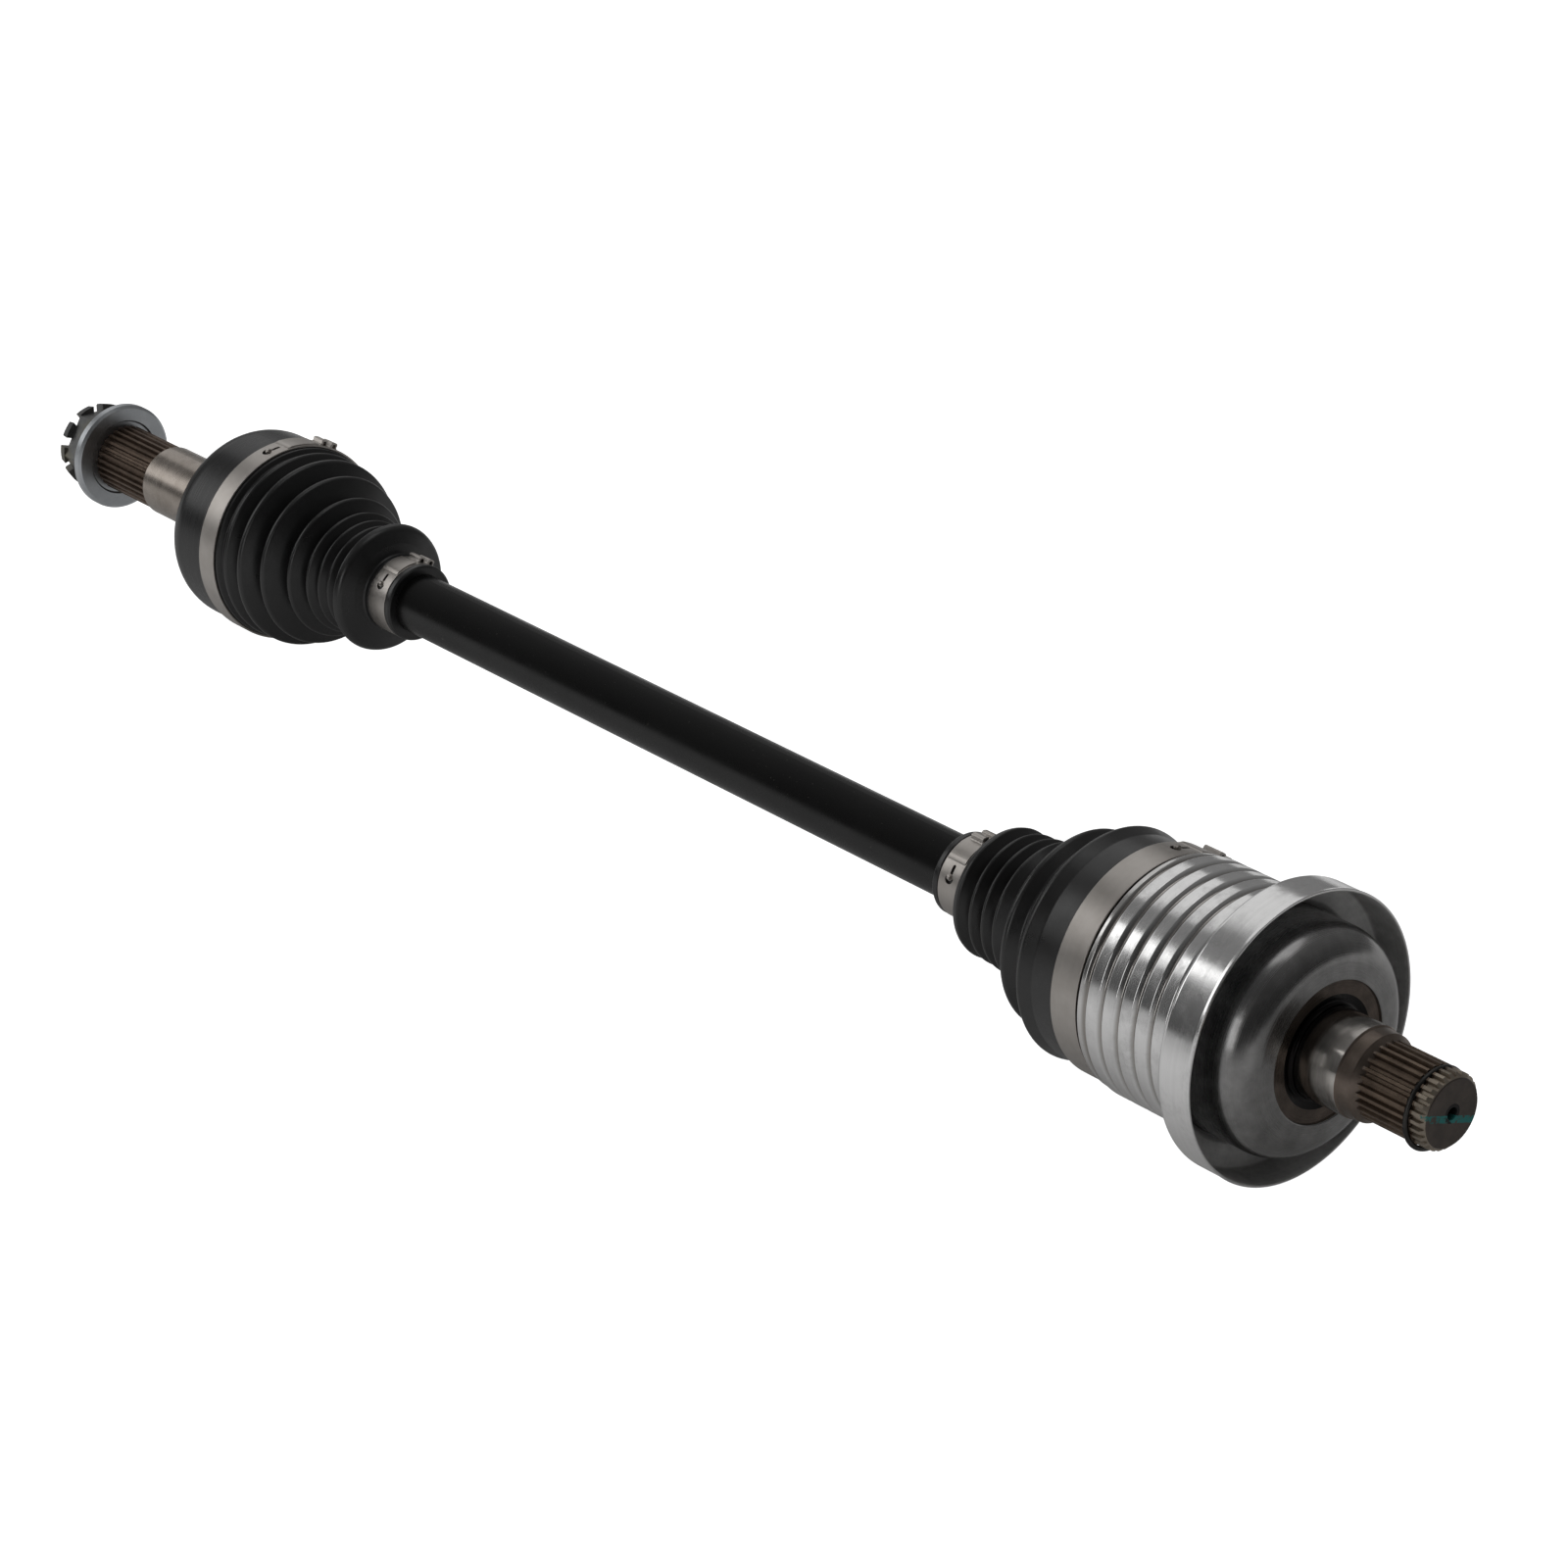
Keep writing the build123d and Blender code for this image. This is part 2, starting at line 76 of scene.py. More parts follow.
def rounded(points, closed=False, step=9.0, longest=None):
    """Edges of an outline whose corners are arcs. Points are (x, r) or (x, r, corner radius).
    Each edge is (start, end, normal at start, normal at end); outside is on the left."""
    corners = [(np.array(p[:2], float), p[2] if len(p) > 2 else 0.0) for p in points]
    count = len(corners)
    edges = []
    last = None
    order = range(count + 1) if closed else range(count)
    for k in order:
        point, radius = corners[k % count]
        before = point - corners[(k - 1) % count][0]
        after = corners[(k + 1) % count][0] - point
        open_end = not closed and k in (0, count - 1)
        if open_end:
            arc = [(point, None)]
        else:
            len_in, len_out = np.linalg.norm(before), np.linalg.norm(after)
            d_in, d_out = before / len_in, after / len_out
            cross = d_in[0] * d_out[1] - d_in[1] * d_out[0]
            turn = math.atan2(cross, float(d_in @ d_out))
            reach = min(radius * abs(math.tan(turn / 2)), 0.48 * len_in, 0.48 * len_out)
            if reach < 1e-4 or abs(turn) < 1e-3:
                arc = [(point, None)]
            else:
                real = reach / abs(math.tan(turn / 2))
                side = 1.0 if turn > 0 else -1.0
                start = point - d_in * reach
                centre = start + left_of(d_in) * real * side
                steps = max(2, math.ceil(abs(math.degrees(turn)) / step))
                arc = []
                for j in range(steps + 1):
                    a = turn * j / steps
                    d = np.array([
                        d_in[0] * math.cos(a) - d_in[1] * math.sin(a),
                        d_in[0] * math.sin(a) + d_in[1] * math.cos(a),
                    ])
                    arc.append((centre - left_of(d) * real * side, left_of(d)))
        if last is not None:
            edges += straight(last, arc[0][0], longest)
        if k < count or not closed:
            for (p, n), (q, m) in zip(arc, arc[1:]):
                edges.append((p, q, n, m))
        last = arc[-1][0]
    return edges


def straight(p, q, longest=None):
    """A straight edge, divided into runs no longer than longest."""
    length = np.linalg.norm(q - p)
    if length < 1e-6:
        return []
    n = left_of((q - p) / length)
    parts = 1 if longest is None else max(1, math.ceil(length / longest))
    marks = [p + (q - p) * j / parts for j in range(parts + 1)]
    return [(a, b, n, n) for a, b in zip(marks, marks[1:])]


def clip(edges, x0, x1):
    """The edges of a line that always moves along +X or -X, between x0 and x1."""
    kept = []
    for p, q, n, m in edges:
        span = q[0] - p[0]
        if abs(span) < 1e-9:
            if x0 < p[0] < x1:
                kept.append((p, q, n, m))
            continue
        t = sorted(((x0 - p[0]) / span, (x1 - p[0]) / span))
        t0, t1 = max(0.0, t[0]), min(1.0, t[1])
        if t1 - t0 > 1e-9:
            kept.append((p + (q - p) * t0, p + (q - p) * t1, n + (m - n) * t0, n + (m - n) * t1))
    return kept


def turned_mesh(name, chains, segments=SEGMENTS):
    """Mesh turned about the shaft from chains of edges, with exact normals."""
    angles = np.arange(segments) * 2 * math.pi / segments
    sin, cos = -np.sin(angles), np.cos(angles)
    verts, faces, normals = [], [], []
    base = 0
    for edges in chains:
        looped = np.allclose(edges[0][0], edges[-1][1], atol=1e-6)
        marks = [e[0] for e in edges] + ([] if looped else [edges[-1][1]])
        rings = len(marks)
        for x, r in marks:
            verts.append(np.stack([np.full(segments, x), r * sin, r * cos], -1) * MM)
        for i, (_, _, n, m) in enumerate(edges):
            a = base + i * segments
            b = base + ((i + 1) % rings) * segments
            for k in range(segments):
                k2 = (k + 1) % segments
                faces.append((a + k, a + k2, b + k2, b + k))
                for (nx, nr), j in ((n, k), (n, k2), (m, k2), (m, k)):
                    normals.append((nx, nr * sin[j], nr * cos[j]))
        base += rings * segments
    mesh = bpy.data.meshes.new(name)
    mesh.from_pydata(np.concatenate(verts).tolist(), [], faces)
    mesh.shade_smooth()
    mesh.normals_split_custom_set(normals)
    return mesh


def add(name, mesh, material, body, node=None):
    """Puts a mesh in the scene as a piece that rides on a body."""
    piece = bpy.data.objects.new(name, mesh)
    bpy.context.scene.collection.objects.link(piece)
    mesh.materials.append(material)
    if body:
        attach(piece, body)
    if node:
        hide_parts(node)
    return piece


def turned(name, points, material, body, node=None):
    """A solid of revolution from one closed outline, run clockwise: outside on the left."""
    return add(name, turned_mesh(name, [rounded(points, closed=True)]), material, body, node)


# ---- materials -------------------------------------------------------------------------------
class Shader:
    """A Principled material under construction."""

    def __init__(self, name, colour, metallic, roughness, **settings):
        self.material = bpy.data.materials.new(name)
        self.material.use_nodes = True
        self.tree = self.material.node_tree
        self.bsdf = self.tree.nodes["Principled BSDF"]
        self.bsdf.inputs["Base Color"].default_value = (*colour, 1.0)
        self.bsdf.inputs["Metallic"].default_value = metallic
        self.bsdf.inputs["Roughness"].default_value = roughness
        for key, value in settings.items():
            self.bsdf.inputs[key.replace("_", " ")].default_value = value
        place = self.node("ShaderNodeTexCoord")
        self.place = place.outputs["Object"]
        self.height = None

    def node(self, kind, **inputs):
        made = self.tree.nodes.new(kind)
        for key, value in inputs.items():
            self.feed(made.inputs[key.replace("_", " ")], value)
        return made

    def feed(self, socket, value):
        if isinstance(value, bpy.types.NodeSocket):
            self.tree.links.new(value, socket)
        else:
            socket.default_value = value

    def math(self, operation, a, b=0.0):
        made = self.node("ShaderNodeMath")
        made.operation = operation
        self.feed(made.inputs[0], a)
        self.feed(made.inputs[1], b)
        return made.outputs[0]

    def turned_place(self):
        """Position as (along the shaft, distance from it, 0), for marks that run round it."""
        split = self.node("ShaderNodeSeparateXYZ", Vector=self.place).outputs
        square = self.math("ADD", self.math("MULTIPLY", split["Y"], split["Y"]),
                           self.math("MULTIPLY", split["Z"], split["Z"]))
        join = self.node("ShaderNodeCombineXYZ", X=split["X"], Y=self.math("SQRT", square))
        return join.outputs[0]

    def noise(self, scale, detail=3.0, rough=0.55, place=None, stretch=None):
        at = place or self.place
        if stretch:
            at = self.node("ShaderNodeMapping", Vector=at, Scale=stretch).outputs[0]
        return self.node("ShaderNodeTexNoise", Vector=at, Scale=scale, Detail=detail, Roughness=rough).outputs[0]

    def between(self, value, low, high, to_low=0.0, to_high=1.0):
        made = self.node("ShaderNodeMapRange")
        made.clamp = True
        for socket, v in zip(made.inputs, (value, low, high, to_low, to_high)):
            self.feed(socket, v)
        return made.outputs[0]

    def blend(self, share, first, second):
        """Colour between two colours."""
        made = self.node("ShaderNodeMix")
        made.data_type = "RGBA"
        self.feed(made.inputs["Factor"], share)
        for socket, colour in ((made.inputs[6], first), (made.inputs[7], second)):
            self.feed(socket, colour if isinstance(colour, bpy.types.NodeSocket) else (*colour, 1.0))
        return made.outputs[2]

    def by_x(self, stops, colour=True):
        """Value that changes along the shaft. Stops are (x in mm, value from there on)."""
        low, high = stops[0][0], stops[-1][0] + 1.0
        x = self.node("ShaderNodeSeparateXYZ", Vector=self.place).outputs["X"]
        ramp = self.node("ShaderNodeValToRGB", Fac=self.between(x, low * MM, high * MM))
        ramp.color_ramp.interpolation = "CONSTANT"
        marks = ramp.color_ramp.elements
        while len(marks) > 1:
            marks.remove(marks[-1])
        for k, (at, value) in enumerate(stops):
            mark = marks[0] if k == 0 else marks.new((at - low) / (high - low))
            mark.color = (*value, 1.0) if colour else (value, value, value, 1.0)
        return ramp.outputs["Color"]

    def colour(self, socket):
        self.feed(self.bsdf.inputs["Base Color"], socket)

    def roughness(self, socket):
        self.feed(self.bsdf.inputs["Roughness"], socket)

    def metallic(self, socket):
        self.feed(self.bsdf.inputs["Metallic"], socket)

    def bump(self, height, distance, strength=1.0):
        made = self.node("ShaderNodeBump", Height=height, Distance=distance, Strength=strength)
        if self.height is not None:
            self.tree.links.new(self.height, made.inputs["Normal"])
        self.height = made.outputs[0]
        self.tree.links.new(self.height, self.bsdf.inputs["Normal"])


def gloss_black():
    """Bar paint: gloss black, a little orange peel, dust specks."""
    s = Shader("gloss_black_paint", (0.004, 0.004, 0.004), 0.0, 0.26, Specular_IOR_Level=0.35)
    specks = s.between(s.noise(900, 2.0, 0.7), 0.735, 0.76)
    soft = s.between(s.noise(22, 4.0), 0.35, 0.7)
    base = s.blend(soft, (0.0030, 0.0029, 0.0028), (0.0060, 0.0058, 0.0056))
    s.colour(s.blend(specks, base, (0.16, 0.15, 0.14)))
    s.roughness(s.between(s.noise(60, 4.0), 0.3, 0.75, 0.22, 0.34))
    s.bump(s.noise(420, 2.0), 0.00003, 0.35)
    return s.material


def rubber(name, dusty):
    """Boot rubber: satin black, fine grain, faint moulding bloom."""
    s = Shader(name, (0.008, 0.008, 0.008), 0.0, 0.4, Specular_IOR_Level=0.65)
    bloom = s.between(s.noise(38, 5.0, 0.62), 0.42, 0.78)
    s.colour(s.blend(bloom, (0.006, 0.006, 0.0062), dusty))
    s.roughness(s.between(s.noise(140, 4.0), 0.3, 0.7, 0.27, 0.36))
    s.bump(s.noise(2600, 3.0, 0.7), 0.00004, 0.5)
    s.bump(s.noise(160, 3.0), 0.00012, 0.25)
    return s.material


def stainless():
    """Clamp band: warm grey, brushed round the band."""
    s = Shader("stainless_band", (0.5, 0.47, 0.44), 1.0, 0.36)
    around = s.turned_place()
    lines = s.noise(2600, 4.0, 0.7, around)
    stain = s.between(s.noise(90, 5.0, 0.6), 0.4, 0.75)
    base = s.blend(lines, (0.40, 0.375, 0.35), (0.56, 0.53, 0.50))
    s.colour(s.blend(s.math("MULTIPLY", stain, 0.5), base, (0.34, 0.31, 0.28)))
    s.roughness(s.between(lines, 0.3, 0.7, 0.3, 0.44))
    s.bump(lines, 0.00002, 0.5)
    return s.material


def spun_zinc():
    """Dust shield: bright plated sheet with spinning lines and grey bloom, with painted shade in the groove bottoms.
    """
    s = Shader("spun_zinc", (0.82, 0.82, 0.82), 1.0, 0.2)
    around = s.turned_place()
    lines = s.noise(3200, 3.0, 0.65, around)
    wide = s.noise(420, 3.0, 0.6, around)
    bloom = s.between(s.noise(130, 6.0, 0.7), 0.44, 0.7)
    smear = s.between(s.noise(30, 5.0, 0.6), 0.45, 0.68)
    base = s.blend(wide, (0.74, 0.735, 0.73), (0.88, 0.875, 0.87))
    grey = s.blend(s.math("MULTIPLY", bloom, smear), base, (0.50, 0.495, 0.49))
    reach = s.node("ShaderNodeSeparateXYZ", Vector=around).outputs["Y"]
    # painted shade: where the outside comes within 49.8 to 51 mm of the shaft, in the groove bottoms and lower rib
    # flanks, the colour darkens towards (0.34, 0.32, 0.30)
    grey = s.blend(s.between(reach, 0.0498, 0.0510), (0.34, 0.32, 0.30), grey)
    s.colour(grey)
    s.roughness(s.math("ADD", s.between(lines, 0.3, 0.7, 0.10, 0.17), s.math("MULTIPLY", bloom, 0.10)))
    s.bump(lines, 0.00001, 0.3)
    return s.material


def dull_zinc():
    """Unpolished inside of the dust shield, with drawing streaks that run round it."""
    s = Shader("dull_zinc", (0.5, 0.5, 0.5), 0.1, 0.34)
    around = s.turned_place()
    lines = s.noise(900, 4.0, 0.7, around)
    cloud = s.between(s.noise(70, 5.0, 0.65), 0.35, 0.7)
    s.colour(s.blend(s.math("MULTIPLY", s.math("ADD", lines, cloud), 0.5), (0.42, 0.415, 0.41), (0.92, 0.91, 0.895)))
    s.roughness(s.between(lines, 0.3, 0.7, 0.25, 0.4))
    s.bump(lines, 0.00003, 0.4)
    return s.material


def outer_bell():
    """Wheel-side bell: satin black paint, ground stub, oily splines and thread."""
    s = Shader("black_bell", (0.01, 0.01, 0.01), 0.0, 0.4)
    around = s.turned_place()
    lines = s.noise(2400, 4.0, 0.7, around)
    blotch = s.between(s.noise(150, 5.0, 0.6), 0.35, 0.7)
    steps = [-460, -432, -389.5, -341.5]
    dark = s.by_x(list(zip(steps, [(0.10, 0.09, 0.08), (0.07, 0.05, 0.038), (0.27, 0.235, 0.205), (0.005, 0.005, 0.0055)])))
    light = s.by_x(list(zip(steps, [(0.22, 0.2, 0.18), (0.19, 0.135, 0.10), (0.44, 0.395, 0.355), (0.009, 0.009, 0.0095)])))
    s.colour(s.blend(s.math("MULTIPLY", s.math("ADD", lines, blotch), 0.5), dark, light))
    s.metallic(s.by_x(list(zip(steps, [0.9, 0.75, 1.0, 0.0])), colour=False))
    rough = s.by_x(list(zip(steps, [0.45, 0.46, 0.27, 0.29])), colour=False)
    s.roughness(s.math("ADD", rough, s.between(lines, 0.3, 0.7, -0.05, 0.06)))
    s.bump(lines, 0.00002, 0.3)
    return s.material


def inner_bell():
    """Gearbox-side bell: dark forged wall, turned face, oxide ring, ground stub, brown splines, and painted shade in
    the undercut and centre hole.
    """
    s = Shader("ground_steel", (0.2, 0.2, 0.2), 1.0, 0.35)
    around = s.turned_place()
    lines = s.noise(1500, 4.0, 0.7, around)
    blotch = s.between(s.noise(110, 5.0, 0.62), 0.38, 0.7)
    steps = [270, 395.3, 415.5, 424.6, 451.0, 457.3]
    dark = [(0.19, 0.187, 0.185), (0.46, 0.435, 0.41), (0.13, 0.105, 0.085), (0.10, 0.072, 0.054),
            (0.23, 0.195, 0.16), (0.06, 0.052, 0.047)]
    light = [(0.36, 0.355, 0.35), (0.66, 0.63, 0.59), (0.26, 0.21, 0.18), (0.26, 0.195, 0.145),
             (0.46, 0.40, 0.32), (0.15, 0.12, 0.10)]
    mix = s.math("MULTIPLY", s.math("ADD", lines, blotch), 0.5)
    steel = s.blend(mix, s.by_x(list(zip(steps, dark))), s.by_x(list(zip(steps, light))))
    split = s.node("ShaderNodeSeparateXYZ", Vector=s.place).outputs
    reach = s.node("ShaderNodeSeparateXYZ", Vector=around).outputs["Y"]
    wall = s.blend(blotch, (0.17, 0.17, 0.173), (0.27, 0.27, 0.275))
    steel = s.blend(s.between(split["X"], 0.379, 0.387), wall, steel)
    before_seat = s.math("LESS_THAN", split["X"], 0.39535)
    ring = s.math("MULTIPLY", s.math("LESS_THAN", reach, 0.0297), before_seat)
    steel = s.blend(ring, steel, s.blend(mix, (0.05, 0.04, 0.034), (0.15, 0.12, 0.10)))
    # painted shade: the undercut round the stub root and the centre hole in the end face are darkened to near black
    # (0.012, 0.011, 0.011)
    undercut = s.math("MULTIPLY", s.math("LESS_THAN", reach, 0.0237), before_seat)
    centre = s.math("MULTIPLY", s.math("LESS_THAN", reach, 0.0041), s.math("GREATER_THAN", split["X"], 0.43))
    shaded = s.math("MAXIMUM", undercut, centre)
    steel = s.blend(shaded, steel, (0.012, 0.011, 0.011))
    chord = s.math("ADD", split["Z"], s.math("MULTIPLY", split["Y"], 0.34))
    near = s.math("LESS_THAN", s.math("ABSOLUTE", s.math("ADD", chord, 0.0024)), 0.0016)
    face = s.math("GREATER_THAN", split["X"], 0.4555)
    patchy = s.between(s.noise(260, 4.0, 0.7), 0.44, 0.52)
    paint = s.math("MULTIPLY", s.math("MULTIPLY", near, face), patchy)
    s.colour(s.blend(paint, steel, (0.025, 0.22, 0.21)))
    s.metallic(s.by_x(list(zip(steps, [1.0, 1.0, 0.9, 0.8, 0.85, 0.6])), colour=False))
    rough = s.by_x(list(zip(steps, [0.25, 0.15, 0.34, 0.42, 0.4, 0.5])), colour=False)
    s.roughness(s.math("ADD", rough, s.between(lines, 0.3, 0.7, -0.05, 0.06)))
    s.bump(lines, 0.00003, 0.35)
    return s.material


def plated(name, dark, light, roughness, tint=None):
    """Plated or phosphated steel with a fine crystalline mottle."""
    s = Shader(name, light, 1.0, roughness)
    grain = s.noise(900, 4.0, 0.7)
    cloud = s.between(s.noise(120, 4.0, 0.6), 0.35, 0.7)
    base = s.blend(s.math("MULTIPLY", s.math("ADD", grain, cloud), 0.5), dark, light)
    if tint:
        stain = s.between(s.noise(60, 4.0), 0.48, 0.66)
        base = s.blend(s.math("MULTIPLY", stain, 0.6), base, tint)
    s.colour(base)
    s.roughness(s.between(grain, 0.3, 0.7, roughness - 0.06, roughness + 0.08))
    s.bump(grain, 0.00003, 0.4)
    return s.material


def bearing(name, colour, roughness):
    """Hardened and ground steel with a faint grinding pattern."""
    s = Shader(name, colour, 1.0, roughness)
    marks = s.noise(1800, 3.0, 0.6)
    s.colour(s.blend(marks, tuple(0.75 * c for c in colour), colour))
    s.roughness(s.between(marks, 0.3, 0.7, roughness - 0.04, roughness + 0.06))
    s.bump(marks, 0.00001, 0.3)
    return s.material


paint_black = gloss_black()
outer_rubber = rubber("black_rubber_outer", (0.011, 0.011, 0.0112))
inner_rubber = rubber("black_rubber_inner", (0.013, 0.012, 0.0115))
band_steel = stainless()
zinc = spun_zinc()
zinc_inside = dull_zinc()

cad_looks = {
    "axle_bar": paint_black,
    "outer_housing": outer_bell(),
    "inner_housing": inner_bell(),
    "hub_washer": plated("zinc_washer", (0.42, 0.44, 0.46), (0.62, 0.64, 0.66), 0.36),
    "hub_nut": plated("phosphate_steel", (0.11, 0.112, 0.113), (0.27, 0.27, 0.265), 0.5, (0.21, 0.19, 0.12)),
    "stub_circlip": plated("spring_wire", (0.03, 0.03, 0.03), (0.09, 0.085, 0.08), 0.35),
}
race_steel = bearing("hardened_steel", (0.34, 0.33, 0.32), 0.32)
ball_steel = bearing("bearing_steel", (0.72, 0.72, 0.72), 0.1)
for name, node in frame["nodes"].items():
    if "ball" in name:
        look = ball_steel
    elif name in ("inner_wire_ring", "inner_race_snap_ring", "outer_race_snap_ring"):
        look = cad_looks["stub_circlip"]
    else:
        look = cad_looks.get(name, race_steel)
    node.data.materials.clear()
    node.data.materials.append(look)


# ---- dust shield -----------------------------------------------------------------------------
def shield_outline():
    """Closed outline of the spun sleeve: curled edge, five ribs, swept flare and rim."""
    start, sheet, base, rim_x, rim_r = 309.0, 1.2, 49.5, 381.0, 61.2
    first, pitch = 317.7, 8.95
    out = [(start, base - 0.4, 0.3), (start + 0.4, base + 1.1, 0.5), (start + 2.3, base + 1.1, 0.8)]
    out += [(start + 3.5, base + 0.1, 0.9)]
    for k in range(5):
        c = first + pitch * k
        out += [(c - pitch / 2, base, 0.9), (c - 2.7, base + 1.9, 0.7)]
        out += [(c + 2.7, base + 1.9, 0.7)]
    out += [(rim_x - 23.05, base, 0.9), (rim_x - 20.6, base + 0.9, 2.5), (rim_x - 16.8, rim_r, 2.2)]
    out += [(rim_x - 1.6, rim_r, 1.5), (rim_x, rim_r + 0.3, 0.4), (rim_x, rim_r - sheet + 0.3, 0.4)]
    out += [(rim_x - 1.6, rim_r - sheet, 1.5), (rim_x - 15.9, rim_r - sheet, 1.6)]
    out += [(rim_x - 19.2, base + 0.9, 2.5), (rim_x - 21.8, base - sheet, 2.0), (start, base - sheet, 0.2)]
    return out


shield = turned("dust_shield_sheet", shield_outline(), zinc, "inner_housing", "dust_shield")
shield.data.materials.append(zinc_inside)
for face in shield.data.polygons:
    outward = face.normal.y * face.center.y + face.normal.z * face.center.z
    if outward < 0:
        face.material_index = 1


# ---- rubber boots ----------------------------------------------------------------------------
def boot(name, node, material, outside, inside, spans):
    """A boot cut into rings that share their cross-sections. Spans are (x0, x1, body or bodies)."""
    skin = rounded(outside, longest=0.9)
    lining = rounded(inside, longest=1.4)
    for k, (x0, x1, bodies) in enumerate(spans):
        chain = clip(skin, x0, x1)
        back = clip(lining, x0, x1)
        chains = [chain, back]
        if k == 0:
            chains = [straight(back[-1][1], chain[0][0]) + chain, back]
        if k == len(spans) - 1:
            chains[0] = chains[0] + straight(chain[-1][1], back[0][0])
        part = add(f"{name}_{k + 1}", turned_mesh(f"{name}_{k + 1}", chains), material, None)
        if isinstance(bodies, str):
            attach(part, bodies)
        else:
            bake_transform(part)
        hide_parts(node)


# outlines run along +X, outside first on the skin; the lining runs back along -X
outer_skin = [
    (-295.4, 47.8, 0.3), (-294.3, 47.8, 0.3), (-294.2, 47.2, 0.1), (-281.4, 47.2, 0.4), (-280.6, 46.9, 0.4),
    (-279.4, 44.6, 0.7), (-278.2, 44.4, 0.7), (-275.2, 47.3, 2.2), (-270.8, 39.6, 0.9), (-264.6, 48.0, 2.1),
    (-258.8, 34.6, 0.9), (-252.4, 43.4, 1.9), (-246.8, 28.6, 0.9), (-240.8, 35.6, 1.6), (-236.8, 25.4, 0.7),
    (-232.4, 30.3, 1.1), (-229.3, 24.2, 0.5), (-226.2, 28.2, 1.0), (-223.2, 23.5, 0.5), (-219.9, 27.2, 1.0),
    (-216.4, 22.2, 0.8), (-213.6, 24.6, 1.5), (-209.6, 31.1, 1.2), (-206.2, 30.0, 4.0), (-203.6, 23.0, 4.0),
    (-202.2, 18.2, 1.2), (-199.7, 18.1, 0.4), (-199.6, 17.3, 0.1), (-186.4, 17.3, 0.2), (-186.2, 18.3, 0.3),
    (-183.8, 18.3, 0.7), (-183.0, 17.4, 0.6), (-183.0, 14.05),
]
outer_lining = [
    (-183.0, 14.05), (-201.0, 14.05, 1.0), (-204.2, 20.0, 2.0), (-207.4, 28.0, 2.0), (-213.0, 22.6, 2.0),
    (-216.4, 20.6, 1.0), (-220.0, 24.4, 0.7), (-223.0, 22.0, 0.7), (-226.2, 25.4, 0.7), (-229.2, 22.8, 0.7),
    (-232.6, 27.4, 0.8), (-236.6, 24.2, 0.8), (-241.0, 32.2, 1.0), (-246.6, 27.4, 1.0), (-252.8, 40.0, 1.0),
    (-258.8, 33.6, 1.0), (-265.0, 44.8, 1.0), (-270.6, 39.0, 1.0), (-275.6, 44.0, 1.0), (-279.6, 44.2, 0.5),
    (-280.4, 45.25, 0.3), (-295.4, 45.25),
]
inner_skin = [
    (190.0, 14.05), (190.0, 17.5, 0.5), (190.9, 18.1, 0.5), (193.2, 18.1, 0.4), (193.4, 17.3, 0.2),
    (206.0, 17.3, 0.2), (206.4, 18.4, 0.6), (208.6, 18.8, 1.5), (213.0, 27.6, 3.0), (216.2, 28.6, 1.1),
    (220.2, 23.5, 0.6), (224.0, 29.4, 1.1), (227.8, 24.1, 0.6), (231.8, 29.9, 1.1), (235.8, 25.1, 0.6),
    (240.0, 31.3, 1.2), (246.4, 26.9, 1.0), (251.6, 36.4, 4.0), (258.2, 43.6, 2.2), (264.8, 38.4, 1.8),
    (270.6, 46.4, 5.0), (274.6, 50.0, 2.2), (281.2, 48.3, 3.0), (293.0, 48.6, 0.5), (308.2, 48.6, 0.3),
    (308.2, 46.65),
]
inner_lining = [
    (308.2, 46.65), (286.0, 46.65, 0.3), (285.2, 46.0, 0.4), (281.0, 46.0, 1.0), (274.0, 47.2, 1.5),
    (265.6, 36.6, 1.2), (258.6, 40.8, 1.5), (252.0, 34.8, 2.0), (246.4, 25.6, 1.2), (240.0, 28.2, 0.8),
    (235.8, 23.8, 0.8), (231.8, 26.9, 0.8), (227.8, 22.8, 0.8), (224.0, 26.4, 0.8), (220.2, 22.2, 0.8),
    (216.4, 26.0, 1.0), (213.0, 24.6, 1.5), (208.4, 16.4, 1.5), (206.0, 14.05, 0.6), (190.0, 14.05),
]
boot("outer_boot_ring", "outer_boot", outer_rubber, outer_skin, outer_lining, [
    (-295.5, -281.0, "outer_housing"),
    (-281.0, -266.0, ("outer_housing", "outer_ball_bottom")),
    (-266.0, -258.0, ("outer_ball_bottom", "outer_cage")),
    (-258.0, -250.0, ("outer_cage", "outer_ball_top")),
    (-250.0, -230.0, ("outer_ball_top", "axle_bar")),
    (-230.0, -182.9, "axle_bar"),
])
boot("inner_boot_ring", "inner_boot", inner_rubber, inner_skin, inner_lining, [
    (189.9, 238.0, "axle_bar"),
    (238.0, 249.0, ("axle_bar", "inner_ball_top")),
    (249.0, 252.0, ("inner_ball_top", "inner_cage")),
    (252.0, 255.0, ("inner_cage", "inner_ball_bottom")),
    (255.0, 259.0, ("inner_ball_bottom", "inner_boot")),
    (259.0, 281.0, ("inner_boot", "inner_housing")),
    (281.0, 308.3, "inner_housing"),
])


# ---- clamps ----------------------------------------------------------------------------------
def wrapped(name, outline, x0, x1, r, angle):
    """Plate cut from an outline in (along the band, height) millimetres and wrapped round the
    shaft at radius r and an angle in degrees from the top."""
    shape = bmesh.new()
    rows = []
    for x in (x0, x1):
        row = []
        for u, h in outline:
            a = math.radians(angle) + u / r
            row.append(shape.verts.new((x * MM, -(r + h) * math.sin(a) * MM, (r + h) * math.cos(a) * MM)))
        rows.append(row)
    count = len(outline)
    for k in range(count):
        shape.faces.new((rows[0][k], rows[0][(k + 1) % count], rows[1][(k + 1) % count], rows[1][k]))
    shape.faces.new(rows[0][::-1])
    shape.faces.new(rows[1])
    bmesh.ops.recalc_face_normals(shape, faces=shape.faces)
    mesh = bpy.data.meshes.new(name)
    shape.to_mesh(mesh)
    shape.free()
    return mesh


